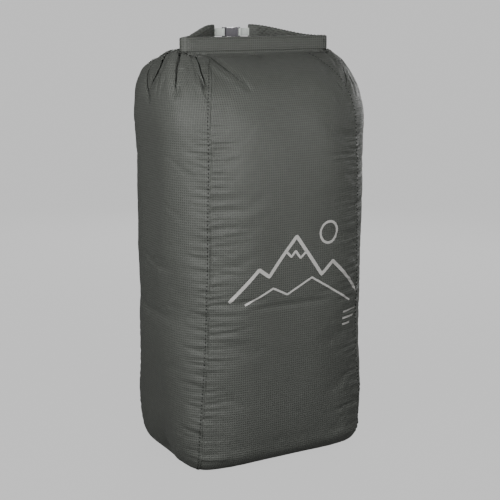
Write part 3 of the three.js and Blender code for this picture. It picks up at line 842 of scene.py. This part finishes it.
def fold_lips(name, seam, sign, fan):
    """Lips of cloth on both sides of a fan's deep folds, that nearly close over them."""
    away, down = sign * ring.from_seam(seam), ring.down
    points, faces, uv = [], [], []
    count = 0
    reach = np.array([1, 0.8, 0.6, 0.42, 0.26, 0.13, 0.05, 0, 0, 0.04, 0.12, 0.24])
    curl = np.array([0, 0, 0, 0, 0, 0.04, 0.15, 0.4, 0.8, 1.15, 1.4, 1.5])
    for corners, depth, width, left_over in fan:
        if depth < LIPS_FROM:
            continue
        line = smooth_line(corners, 2.2)
        share = travel_along(line) / travel_along(line)[-1]
        line, share = line[line[:, 1] > LIPS_BELOW], share[line[:, 1] > LIPS_BELOW]
        across = left_of(line)
        fade = smoothstep(1 - share, 0.0, 0.3)
        outer = 1.8 * fold_width(share, width) * (0.12 + 0.88 * fade)
        gap = LIP_GAP * fade * (0.5 + 0.5 * smoothstep(share, 0, 0.3))
        deep = fold_depth(share, depth, left_over)
        for side in (1, -1):
            offset = gap[:, None] + (outer - gap)[:, None] * reach
            place = line[:, None] + side * across[:, None] * offset[..., None]
            edge = line + side * across * outer[:, None]
            beyond = line + side * across * (outer + 2)[:, None]
            rim = read(ring.relief, *locate(away, down, *edge.T))
            slope = (rim - read(ring.relief, *locate(away, down, *beyond.T))) / 2
            inward = outer[:, None] - offset
            level = (rim[:, None] + slope[:, None] * inward * reach
                     + 0.05 * inward * smoothstep(reach, 0.0, 0.5) * (deep / depth)[:, None])
            level = level + 0.12 - curl * (0.15 + 0.85 * fade)[:, None] * (deep / 6)[:, None]
            row, column = locate(away, down, place[..., 0], place[..., 1])
            at = read(ring.smooth, row, column)
            at = at + read(ring.smooth_normals, row, column) * level[..., None]
            points.append(at.reshape(-1, 3))
            strip = grid_faces(len(line), len(reach)) + count
            faces.append(strip if side * sign < 0 else strip[:, ::-1])
            count += len(points[-1])
            uv.append(cloth_uv(seam, place[..., 0] * sign, row).reshape(-1, 2))
    return mesh_piece(name, np.concatenate(points), np.concatenate(faces), nylon,
                      np.concatenate(uv))


def cloth_uv(seam, around, row):
    """The cloth coordinates of places given by how far round from a seam they are."""
    panels = seam, (seam - 1) % 4
    wide_after, wide_before = (ring.width_at(p, row) for p in panels)
    across = np.where(around > 0, around - wide_after / 2, around + wide_before / 2)
    ups = [np.interp(row, np.arange(ring.rows), ring.middle_up(p)) for p in panels]
    return np.stack([across, np.where(around > 0, *ups)], -1)


for n, (seam, sign, fan) in enumerate(FANS):
    fit(fold_lips(f"fold_lips_{n}", seam, sign, fan), "sack")


THREAD_SIDES, FINE_THREAD = 6, 0.34  # a thread's facets, and the radius its lifts are given for


def stitches(name, starts, ends, normals, material, radius, sink=0.35):
    """Short lengths of thread, each from a start to an end, dipping into the cloth at both."""
    starts, ends, normals = (np.asarray(a, float) for a in (starts, ends, normals))
    axis = ends - starts
    length = np.linalg.norm(axis, axis=1, keepdims=True)
    axis = axis / length
    side = np.cross(normals, axis)
    side /= np.linalg.norm(side, axis=1, keepdims=True)
    up = np.cross(axis, side)
    # How far along the thread, how much of its radius, and how high over the cloth.
    profile = (0, 0.35, -sink), (0.18, 0.9, 0.1), (0.5, 1, 0.25), (0.82, 0.9, 0.1), (1, 0.35, -sink)
    rings = []
    for share, size, lift in profile:
        centre = starts + axis * length * share + up * lift * radius / FINE_THREAD
        for k in range(THREAD_SIDES):
            turn = k * 2 * math.pi / THREAD_SIDES
            rings.append(centre + radius * size * (side * math.cos(turn) + up * math.sin(turn)))
    count = len(rings)
    firsts = count * np.arange(len(starts))
    one = grid_faces(len(profile), THREAD_SIDES, wrap=True)
    faces = (one[None] + firsts[:, None, None]).reshape(-1, 4).tolist()
    for first in firsts:
        faces += [range(first + THREAD_SIDES - 1, first - 1, -1),
                  range(first + count - THREAD_SIDES, first + count)]
    return mesh_piece(name, np.stack(rings, 1), faces, material)


STITCH_PITCH, STITCH_LENGTH, STITCH_RADIUS = 7.4, 4.4, 0.75


def seam_stitches(seam):
    """The row of stitches that holds a felled seam down, on its gusset's side."""
    gusset_ends_here = seam in (0, 2)
    gusset = (seam - 1) % 4 if gusset_ends_here else seam
    travel = ring.up(ring.panel(gusset)[-1 if gusset_ends_here else 0])
    at = np.arange(12, travel[-1] - 16, STITCH_PITCH)
    found = []
    for t in (at, at + STITCH_LENGTH):
        row = np.interp(t, travel, np.arange(ring.rows))
        across = ring.width_at(gusset, row) - STITCH_IN if gusset_ends_here else STITCH_IN
        found.append(cloth_at(ring, gusset, across, row, 0.12))
    (starts, normals), (ends, _) = found
    # These near-black stitches are partly real thread and partly painted shade of the needle holes.
    return stitches(f"seam_stitching_{seam}", starts, ends, normals, thread, STITCH_RADIUS)


for seam in range(4):
    fit(seam_stitches(seam), "sack")

# ---- Seam tapes, inside ----

TAPE_OFFSETS = (-10, -7, -4, -1.5, 0, 1.5, 4, 7, 10)
TAPE_THICK = 0.3


def tape_strip(place, lines, uv):
    """A strip of seam tape through lines of points that run along it."""
    points = np.stack(lines, 1)
    strip = mesh_piece(f"{place}_tape_strip", points, grid_faces(*points.shape[:2]), tape, uv)
    solid = strip.modifiers.new("thickness", "SOLIDIFY")
    solid.thickness, solid.offset = TAPE_THICK / 1000, 0
    fit(strip, "sack", f"{place}_seam_tape")


for seam, place in enumerate(("front_left", "front_right", "back_right", "back_left")):
    rows = np.arange(math.ceil(ring.row_at(26)), ring.row_at(780), 1.0)
    lines = []
    for offset in TAPE_OFFSETS:
        p = seam if offset >= 0 else (seam - 1) % 4
        across = offset if offset >= 0 else ring.width_at(p, rows) + offset
        lines.append(cloth_at(ring, p, across, rows, -2.0)[0])
    tape_strip(place, lines, np.stack(np.meshgrid(TAPE_OFFSETS, rows * 3.4), -1))

for p, side, sign in ((3, "left", -1), (1, "right", 1)):
    foot = ring.points[0, ring.panel(p)][6:-6]
    lines = [foot + (-sign * d, 0, 1.6) for d in (12, 9, 6, 3)]
    along = ring.along[0, ring.panel(p)[:-1]]
    across = np.append(along, ring.width[0, p])[6:-6]
    for height in (4, 8):
        lines.append(cloth_at(ring, p, across, ring.row_at(height), -1.8)[0])
    uv = np.stack(np.meshgrid(np.arange(len(lines)) * 3.0, across), -1)
    tape_strip(f"{side}_foot", lines, uv)

# ---- The rolled mouth ----

SECTION_SPACING = 1.15


def spiral_section():
    """The roll's section as two matching edges: x is towards the back, and y is up."""
    flat = ROLL_HEIGHT / 2 - ROLL_RADIUS
    turn = np.linspace(0, 1, 400)
    angle = math.pi / 2 + turn * ROLL_TURNS * 2 * math.pi
    radius = ROLL_CORE + ROLL_PITCH * ROLL_TURNS * turn
    x = -radius * np.cos(angle)
    y = radius * np.sin(angle) + np.where(np.sin(angle) > -1e-9, flat, -flat)
    line = np.stack([x, y], 1)
    line, at = evenly(line, int(travel_along(line)[-1] / SECTION_SPACING))
    inwards = left_of(line) * ROLL_LAYER / 2
    return line - inwards, line + inwards, at


def front_path(step=2.6):
    x = np.linspace(-FRONT_HALF - 0.2, FRONT_HALF + 0.2, int(2 * FRONT_HALF / step))
    at = np.stack([x, np.full_like(x, FRONT_Y), np.full_like(x, FRONT_Z)], 1)
    return at, np.repeat([[0.0, 1.0, 0.0]], len(x), 0)


def tail_path(sign, step=1.1):
    """Round the end of the front run, straight back to the buckle, and a last turn into line with
    its webbing, climbing all the way."""
    angle = math.radians(TAIL_ANGLE[sign])
    bend = math.pi - angle
    start = np.array([FRONT_HALF, FRONT_Y])
    round_ = np.linspace(0, bend, 16)
    first = start + TAIL_BEND * np.stack([np.sin(round_), 1 - np.cos(round_)], 1)
    drop = TAIL_END_BEND * (1 - math.cos(angle))
    heading = np.array([-math.cos(angle), math.sin(angle)])
    straight = (BUCKLE_AT[1] - first[-1, 1] - drop) / math.sin(angle)
    middle = np.linspace(0, straight, int(straight / step))[1:-1]
    second = first[-1] + middle[:, None] * heading
    before = first[-1] + straight * heading
    left = np.linspace(1, 0, 9)
    third = before + TAIL_END_BEND * np.stack([
        -(math.sin(angle) - np.sin(angle * left)), np.cos(angle * left) - math.cos(angle)], 1)
    plan = np.concatenate([first, second, third])
    turned = np.concatenate([round_, np.full(len(second), bend), bend + (1 - left) * angle])
    climb = TAIL_RISE * smoothstep(start[0] - plan[:, 0], 0, start[0] - plan[-1, 0])
    at = np.stack([sign * plan[:, 0], plan[:, 1], FRONT_Z + climb], 1)
    side = np.stack([-sign * np.sin(turned), np.cos(turned), np.zeros(len(plan))], 1)
    return at, side


PLEAT_PITCH, PLEAT_DEPTH, PLEAT_LEAN, PLEAT_SLANT = 6.8, 7.6, 4.6, 0.75
ruffle, drift = Noise(26), Noise(70)


def rolled(name, at, side, tail):
    """The rolled cloth along a path. On a tail, the inner face is gathered into slanting pleats."""
    outer, inner, wound = spiral_section()
    travel = travel_along(at)
    section = np.concatenate([outer, inner[::-1]])
    wound = np.concatenate([wound, wound[::-1]])
    x = np.repeat(section[None, :, 0], len(at), 0)
    y = np.repeat(section[None, :, 1], len(at), 0)
    s = np.repeat(travel[:, None], len(section), 1)
    if tail:
        phase = math.pi * (s + PLEAT_SLANT * y) / PLEAT_PITCH + 0.8 * drift(s, y)
        lobes = np.abs(np.sin(phase)) ** 2
        deep = 0.95 + 0.4 * np.clip(ruffle(s, 0.4 * y), -1, 1)
        deep = deep * smoothstep(s, 6, 24) * smoothstep(travel[-1] - s, 0, 9)
        gathered = np.where(x > 0, (x / ROLL_RADIUS) ** 2, 0)
        dx = gathered * deep * (PLEAT_DEPTH * lobes - 1.0)
        dx -= np.where(x < 0, 0.9 * deep * lobes * (x / ROLL_RADIUS) ** 2, 0)
        dy = 0.9 * (lobes - 0.5) * deep * y / 15
        lean = PLEAT_LEAN * gathered * deep * lobes
    else:
        # The front run: a pressed crease just under its top edge, and slight waves.
        sway = 0.5 * drift(s, 0 * y)
        dx = 2.2 * bell(y - 10.4 - sway, 0.85) + 0.5 * bell(y + 9.5 - 1.4 * sway, 0.8)
        dx = (dx - 0.6 * bell(y - 12.6, 1.2)) * (x < 0) + 0.3 * ruffle(s, 3 * y) * x / ROLL_RADIUS
        dy = 0.4 * drift(s, 0 * y) * (y / 15)
        ends = smoothstep(s, 0, 8) * smoothstep(travel[-1] - s, 0, 8)
        dx, dy = dx * ends, dy * ends
    x, y = x + dx, y + dy
    points = at[:, None] + side[:, None] * x[..., None]
    if tail:
        forward = np.gradient(at, axis=0)
        forward /= np.linalg.norm(forward, axis=1, keepdims=True)
        points += forward[:, None] * lean[..., None]
    points[..., 2] += y
    count = len(section)
    faces = grid_faces(len(at), count, wrap=True).tolist()
    half = count // 2
    last = (len(at) - 1) * count
    for i in range(half - 1):
        a, b, c, d = i, i + 1, count - 2 - i, count - 1 - i
        faces += [[a, b, c, d], [last + d, last + c, last + b, last + a]]
    uv = np.stack([s, np.repeat(wound[None], len(at), 0)], -1)
    return mesh_piece(name, points, faces, nylon, uv)


FILM_HALF_THICK, FILM_HALF_HEIGHT = 0.5, 10.0


def stiffener_film(name, at, side):
    """The flat strip in the roll, standing on edge along a path."""
    x, y = FILM_HALF_THICK, FILM_HALF_HEIGHT
    corners = (-x, -y), (x, -y), (x, y), (-x, y)
    rows = np.stack([at + side * x + (0, 0, y) for x, y in corners], 1)
    faces = grid_faces(len(at), 4, wrap=True).tolist()
    last = 4 * (len(at) - 1)
    faces += [[3, 2, 1, 0], [last, last + 1, last + 2, last + 3]]
    return mesh_piece(name, rows, faces, stiff, sharp=True)


def outward(piece):
    """Turns a piece's faces to point out, where its winding depends on which side it is on."""
    made = bmesh.new()
    made.from_mesh(piece.data)
    bmesh.ops.recalc_face_normals(made, faces=made.faces)
    made.to_mesh(piece.data)
    made.free()
    return piece


paths = {"front": front_path(), "left": tail_path(-1), "right": tail_path(1)}
soft_tail = []
for where, (at, side) in paths.items():
    roll = outward(rolled(f"rolled_{where}", at, side, where != "front"))
    film = outward(stiffener_film(f"{where}_stiffener_film", at, side))
    part = where if where == "front" else f"{where}_tail"
    fit(roll, "sack", f"roll_{part}")
    fit(film, "sack", f"{part}_stiffener")
    if where == "right":
        soft_tail += [roll, film]


def dome_height(x, y):
    """The height of the sack's domed top over a point in plan."""
    low, high = 640.0, GIRTH[-2, 0]
    for _ in range(24):
        middle = (low + high) / 2
        half_width, half_depth, square, back, _ = girth(middle)
        reach = abs(x / half_width) ** square + abs((y - back) / half_depth) ** square
        low, high = (middle, high) if reach < 1 else (low, middle)
    return low


WEB_ROWS = 16


def neck_web(sign, name):
    """The gathered neck under a tail: its two layers come down from the roll, spread, and run out
    on the domed top. The grid goes along the inner layer, round the end, and back."""
    at, side = tail_path(sign, 2.2)
    at, side = at[7:], side[7:]
    foot = np.array([dome_height(*p[:2]) for p in at]) - 3.0
    top = at[:, 2] - ROLL_HEIGHT / 2 + 2.5
    heading = np.array([-sign, 0.0, 0.0])
    turns = np.linspace(0, math.pi, 9)[1:-1]
    rows = [(p, s, z0, z1) for p, s, z0, z1 in zip(at, side, foot, top)]
    end = rows[-1]
    rows += [(end[0], end[1] * math.cos(t) + heading * math.sin(t), end[2], end[3]) for t in turns]
    rows += [(p, -s, z0, z1) for p, s, z0, z1 in rows[: len(at)][::-1]]
    middle = np.array([r[0] for r in rows])
    normal = np.array([r[1] for r in rows])
    z0, z1 = np.array([r[2] for r in rows]), np.array([r[3] for r in rows])
    down = np.linspace(0, 1, WEB_ROWS)[None, :]
    travel = travel_along(middle)[:, None] + 0.9 * np.arange(len(rows))[:, None]
    tall = (z1 - z0)[:, None]
    spread = 1.6 + (2.0 + 0.26 * tall) * down**1.8
    pleat = np.sin(2 * math.pi * (travel / 9.5 + 0.6 * down) + 1.7 * drift(travel, 30 * down))
    depth = 2.1 * smoothstep(tall, 4, 26) * (0.5 + 0.5 * ruffle(travel, 20 * down))
    spread = spread + depth * pleat * smoothstep(down, 0, 0.15)
    points = middle[:, None] + normal[:, None] * spread[..., None]
    points[..., 2] = z1[:, None] - tall * down
    uv = np.stack([np.repeat(travel, WEB_ROWS, 1), -tall * down], -1)
    return mesh_piece(name, points, grid_faces(len(rows), WEB_ROWS), nylon, uv)


for sign, side in ((-1, "left"), (1, "right")):
    web = outward(neck_web(sign, f"gathered_neck_{side}"))
    fit(web, "sack", f"{side}_neck_web")
    if sign == 1:
        soft_tail.append(web)

# ---- Buckle and its webbing ----

for node in ("buckle_socket", "buckle_plug", "upper_prong", "lower_prong"):
    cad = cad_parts[node]
    cad.data.materials.clear()
    cad.data.materials.append(acetal)

WEBBING_HALF, WEBBING_THICK = 7.5, 1.0


def webbing_loop(name, sign, bar_inside, tail_end):
    """Webbing folded round a buckle bar, with both layers running on into the end of the roll."""
    inner = 4.3 + WEBBING_THICK / 2
    apart = 0.2 + WEBBING_THICK / 2
    reach = abs(tail_end - bar_inside) + 7.0
    line = [(reach, apart), (16, apart), (9, apart), (6.4, 1.9), (4, 3.9), (2.2, inner), (0.8, 4.6)]
    line += [(-0.25, 3.6), (-0.5, 2.2), (-0.5, 0.0)]
    line += [(x, -y) for x, y in line[-2::-1]]
    line, at = evenly(np.array(line, float), 96)
    line = softened(line, 3)
    normal = left_of(line)
    across = np.linspace(-1, 1, 15)
    half = WEBBING_THICK / 2
    # Once round the tape's section: the outside face, then the inside face. Its edges are thin.
    skin = np.concatenate([
        np.stack([across, half * (1 - 0.75 * across**6)], 1),
        np.stack([across[::-1], -half * (1 - 0.75 * across[::-1] ** 6)], 1)])
    ribs = 0.05 * np.sin(2 * math.pi * at / RIB_PITCH)
    grid = np.zeros((len(at), len(skin), 3))
    for j, (a, off) in enumerate(skin):
        place = line + normal * (off + np.sign(off) * ribs)[:, None]
        grid[:, j, 0] = BUCKLE_AT[0] + bar_inside + sign * place[:, 0]
        grid[:, j, 1] = BUCKLE_AT[1] + place[:, 1]
        grid[:, j, 2] = BUCKLE_AT[2] + a * WEBBING_HALF
    uv = np.stack(np.meshgrid(skin[:, 0] * WEBBING_HALF, at), -1)
    faces = grid_faces(len(at), len(skin), wrap=True).tolist()
    count, last = len(skin), (len(at) - 1) * len(skin)
    faces += [list(range(count))[::-1], [last + k for k in range(count)]]
    return outward(mesh_piece(name, grid, faces, webbing, uv))


TACK_HALF, TACK_PITCH, TACK_RADIUS = 6.2, 1.15, 0.26


def tack(name, x, y, face):
    """A sewn bar across the webbing: close, slanting stitches."""
    z = np.arange(-TACK_HALF, TACK_HALF, TACK_PITCH)
    starts = np.stack([np.full_like(z, x - 0.9), np.full_like(z, y), BUCKLE_AT[2] + z], 1)
    ends = starts + (1.8, 0, 0.5)
    normals = np.repeat([[0.0, face, 0.0]], len(z), 0)
    return stitches(name, starts, ends, normals, pale_thread, TACK_RADIUS, sink=0.2)


SOCKET_BAR, PLUG_BAR = -18.2, 15.2
for side, sign, bar, body in (("left", -1, SOCKET_BAR, "sack"), ("right", 1, PLUG_BAR, "plug")):
    tail_x = paths[side][0][-1, 0]
    loop = webbing_loop(f"{side}_webbing_loop", sign, bar, tail_x - BUCKLE_AT[0])
    fit(loop, body, f"{side}_webbing_tab")
    for face in (-1, 1):
        for n, back_off in enumerate((3.2, 5.4)):
            row = tack(f"{side}_tack_{n}_{'front' if face < 0 else 'back'}",
                       tail_x - sign * back_off, BUCKLE_AT[1] + face * 1.25, face)
            fit(row, body)

# The pieces of the right-hand tail get meshes of their own, not shared with any other object.
for piece in soft_tail:
    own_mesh(piece)

# ---- The print on the front: a line of hills, a ring for a sun and three short bars ----

INK_LIFT = 0.32


def printed_line(name, corners, width):
    """A stroke of ink on the front panel. Corners are (across from the left seam, height)."""
    line = np.array(corners, float)
    line, _ = evenly(line, max(4, int(travel_along(line)[-1] / 2.0)))
    rows = []
    for k in np.linspace(-1, 1, 5):
        flat = line + left_of(line) * (k * width / 2)
        rows.append(cloth_at(ring, 0, flat[:, 0], ring.row_at(flat[:, 1]), INK_LIFT)[0])
    points = np.stack(rows, 1)
    uv = np.repeat(line[:, None], 5, 1)
    faces = grid_faces(*points.shape[:2])[:, ::-1]
    fit(mesh_piece(name, points, faces, ink, uv), "sack")


turns = np.linspace(0, 2 * math.pi, 49)
printed_line("print_sun", np.stack([252 + 21 * np.cos(turns), 470 + 21 * np.sin(turns)], 1), 5.0)
printed_line("print_ridge", [(38, 352), (96, 412), (118, 396), (176, 470), (236, 388), (262, 412),
                             (352, 330)], 7.0)
printed_line("print_near_ridge", [(70, 344), (128, 372), (160, 356), (214, 384), (318, 322)], 4.0)
printed_line("print_snow", [(154, 442), (166, 430), (175, 441), (186, 426), (199, 438)], 4.5)
for n, (x, z, length) in enumerate(((300, 300, 52), (300, 287, 38), (300, 274, 24))):
    printed_line(f"print_bar_{n}", [(x, z), (x + length, z)], 4.5)

# ---- Floor, lights and camera ----

FLOOR_GLOW, WORLD_GLOW, FLOOR_DROP = 0.77, 0.12, 0.6


def studio():
    """A pale floor that curves up far away, all round, and glows like a light table."""
    pale = Nodes("studio_floor", (0.04, 0.04, 0.04), 1.0, Specular_IOR_Level=0.0)
    pale.shader.inputs["Emission Color"].default_value = (1, 1, 1, 1)
    pale.shader.inputs["Emission Strength"].default_value = FLOOR_GLOW
    turns = np.linspace(0, 2 * math.pi, 97)[:-1]
    profile = [(0.4, 0), (2, 0), (6, 0), (12, 0), (15, 0.4), (18, 1.7), (20.5, 4), (22, 7),
               (22.5, 10)]
    points = [(0, 0, -FLOOR_DROP)]
    for radius, height in profile:
        radius, height = 1000 * radius, 1000 * height - FLOOR_DROP
        points += [(radius * math.cos(t), radius * math.sin(t), height) for t in turns]
    count = len(turns)
    faces = [[0, 1 + k, 1 + (k + 1) % count] for k in range(count)]
    faces += (grid_faces(len(profile), count, wrap=True) + 1)[:, ::-1].tolist()
    floor = mesh_piece("studio_floor", points, faces, pale.material)
    floor.visible_diffuse = floor.visible_glossy = False


def area_light(name, place, target, size, power):
    data = bpy.data.lights.new(name, "AREA")
    data.shape, data.size, data.energy = "DISK", size, power
    lamp = bpy.data.objects.new(name, data)
    lamp.location = place
    lamp.visible_camera = False
    lamp.rotation_euler = (Vector(target) - Vector(place)).to_track_quat("-Z", "Y").to_euler()
    bpy.context.scene.collection.objects.link(lamp)


LIGHTS = (  # name, place, what it points at, size and power
    ("key", (-1.45, -0.80, 1.02), (0, 0, 0.62), 0.8, 29),
    ("front", (-0.30, -1.60, 1.05), (0, 0, 0.62), 0.8, 25),
    ("fill", (1.8, -2.2, 1.0), (0, 0, 0.5), 1.4, 3),
    ("back", (1.1, 2.2, 1.15), (0, 0, 0.5), 1.2, 58),
    ("side", (2.1, 0.9, 1.0), (0, 0, 0.5), 1.2, 22),
)
studio()
for light in LIGHTS:
    area_light(*light)
world = bpy.data.worlds.new("studio")
bpy.context.scene.world = world
world.use_nodes = True
world.node_tree.nodes["Background"].inputs[0].default_value = (1, 1, 1, 1)
world.node_tree.nodes["Background"].inputs[1].default_value = WORLD_GLOW

camera = bpy.data.objects.new("camera", bpy.data.cameras.new("camera"))
camera.data.lens, camera.data.sensor_width = 81.8, 36.0
camera.location = (-1.1036, -1.9953, 0.9127)
camera.rotation_euler = (math.radians(90 - 12.44), 0, math.radians(-28.97))
bpy.context.scene.collection.objects.link(camera)
bpy.context.scene.camera = camera
